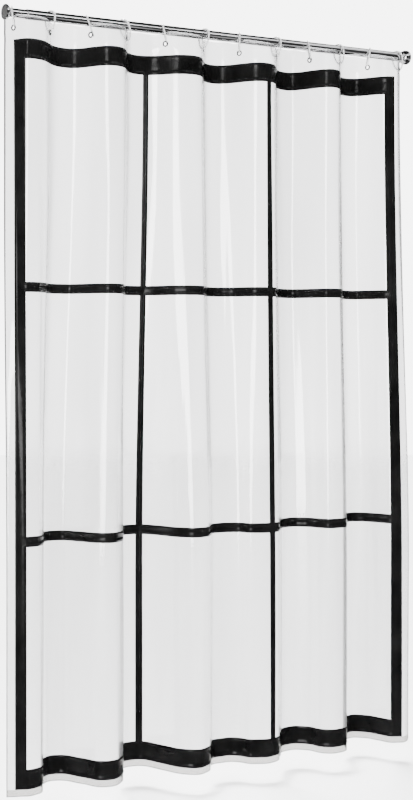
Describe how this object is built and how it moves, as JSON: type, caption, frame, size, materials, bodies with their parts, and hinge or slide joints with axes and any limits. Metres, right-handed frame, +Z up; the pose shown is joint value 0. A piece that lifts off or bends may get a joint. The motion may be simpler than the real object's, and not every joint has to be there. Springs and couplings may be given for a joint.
{
  "type": "shower curtain",
  "caption": "Clear waterproof shower curtain with a printed black grid, hung in soft folds by rings through eyelets from a telescopic tension rod.",
  "frame": {"origin": "centre of the left wall pad's face, on the rod's axis", "axes": "+X along the rod to the right wall pad, +Z up, -Y towards the room"},
  "size_m": [1.29, 0.1839, 2.0345],
  "materials": {
    "chrome": "polished",
    "rubber": "matt",
    "steel": "turned",
    "nylon": "matt",
    "ring_plastic": "clear, gloss",
    "eyelet_metal": "polished",
    "clear_vinyl": "clear, gloss",
    "black_film": "gloss"
  },
  "bodies": {
    "fixed_rod": {"left_wall_pad": "rubber", "left_end_cap": "chrome", "inner_tube": "chrome", "spindle_nut": "nylon"},
    "sliding_rod": {"outer_tube": "chrome", "outer_tube_lip": "chrome", "right_end_cap": "chrome", "right_wall_pad": "rubber", "spindle": "steel", "spindle_plug": "nylon"},
    "curtain": {"clear_sheet": "clear_vinyl", "top_band": "black_film", "bottom_band": "black_film", "left_band": "black_film", "right_band": "black_film", "left_mullion": "black_film", "right_mullion": "black_film", "upper_transom_left": "black_film", "upper_transom_middle": "black_film", "upper_transom_right": "black_film", "lower_transom_left": "black_film", "lower_transom_middle": "black_film", "lower_transom_right": "black_film", "ring_01": "ring_plastic", "eyelet_01": "eyelet_metal"},
    "ring_02_body": {"ring_02": "ring_plastic", "eyelet_02": "eyelet_metal"},
    "ring_03_body": {"ring_03": "ring_plastic", "eyelet_03": "eyelet_metal"},
    "ring_04_body": {"ring_04": "ring_plastic", "eyelet_04": "eyelet_metal"},
    "ring_05_body": {"ring_05": "ring_plastic", "eyelet_05": "eyelet_metal"},
    "ring_06_body": {"ring_06": "ring_plastic", "eyelet_06": "eyelet_metal"},
    "ring_07_body": {"ring_07": "ring_plastic", "eyelet_07": "eyelet_metal"},
    "ring_08_body": {"ring_08": "ring_plastic", "eyelet_08": "eyelet_metal"},
    "ring_09_body": {"ring_09": "ring_plastic", "eyelet_09": "eyelet_metal"},
    "ring_10_body": {"ring_10": "ring_plastic", "eyelet_10": "eyelet_metal"},
    "ring_11_body": {"ring_11": "ring_plastic", "eyelet_11": "eyelet_metal"},
    "ring_12_body": {"ring_12": "ring_plastic", "eyelet_12": "eyelet_metal"}
  },
  "joints": [
    {"name": "rod_extension", "type": "slide", "parent": "fixed_rod", "child": "sliding_rod", "axis": [1, 0, 0], "range_m": [0, 0.12]},
    {"name": "curtain_swing", "type": "hinge", "parent": "fixed_rod", "child": "curtain", "pos_m": [0, 0, 0], "axis": [1, 0, 0], "range_deg": [-12, 12]},
    {"name": "curtain_draw", "type": "slide", "parent": "curtain", "child": "ring_12_body", "axis": [-1, 0, 0], "range_m": [0, 0.8582], "deforming": ["clear_sheet", "top_band", "bottom_band", "left_band", "right_band", "left_mullion", "right_mullion", "upper_transom_left", "upper_transom_middle", "upper_transom_right", "lower_transom_left", "lower_transom_middle", "lower_transom_right"]},
    {"name": "ring_11_draw", "type": "slide", "parent": "curtain", "child": "ring_11_body", "axis": [-1, 0, 0], "range_m": [0, 0.7878]},
    {"name": "ring_10_draw", "type": "slide", "parent": "curtain", "child": "ring_10_body", "axis": [-1, 0, 0], "range_m": [0, 0.7123]},
    {"name": "ring_09_draw", "type": "slide", "parent": "curtain", "child": "ring_09_body", "axis": [-1, 0, 0], "range_m": [0, 0.6395]},
    {"name": "ring_08_draw", "type": "slide", "parent": "curtain", "child": "ring_08_body", "axis": [-1, 0, 0], "range_m": [0, 0.5625]},
    {"name": "ring_07_draw", "type": "slide", "parent": "curtain", "child": "ring_07_body", "axis": [-1, 0, 0], "range_m": [0, 0.4782]},
    {"name": "ring_06_draw", "type": "slide", "parent": "curtain", "child": "ring_06_body", "axis": [-1, 0, 0], "range_m": [0, 0.3984]},
    {"name": "ring_05_draw", "type": "slide", "parent": "curtain", "child": "ring_05_body", "axis": [-1, 0, 0], "range_m": [0, 0.3105]},
    {"name": "ring_04_draw", "type": "slide", "parent": "curtain", "child": "ring_04_body", "axis": [-1, 0, 0], "range_m": [0, 0.2258]},
    {"name": "ring_03_draw", "type": "slide", "parent": "curtain", "child": "ring_03_body", "axis": [-1, 0, 0], "range_m": [0, 0.1523]},
    {"name": "ring_02_draw", "type": "slide", "parent": "curtain", "child": "ring_02_body", "axis": [-1, 0, 0], "range_m": [0, 0.0751]}
  ],
  "couplings": [
    {"joint": "ring_02_draw", "follows": "curtain_draw", "ratio": 0.0863},
    {"joint": "ring_03_draw", "follows": "curtain_draw", "ratio": 0.17635},
    {"joint": "ring_04_draw", "follows": "curtain_draw", "ratio": 0.26199},
    {"joint": "ring_05_draw", "follows": "curtain_draw", "ratio": 0.36069},
    {"joint": "ring_06_draw", "follows": "curtain_draw", "ratio": 0.46305},
    {"joint": "ring_07_draw", "follows": "curtain_draw", "ratio": 0.55604},
    {"joint": "ring_08_draw", "follows": "curtain_draw", "ratio": 0.65432},
    {"joint": "ring_09_draw", "follows": "curtain_draw", "ratio": 0.74405},
    {"joint": "ring_10_draw", "follows": "curtain_draw", "ratio": 0.82887},
    {"joint": "ring_11_draw", "follows": "curtain_draw", "ratio": 0.9168}
  ]
}
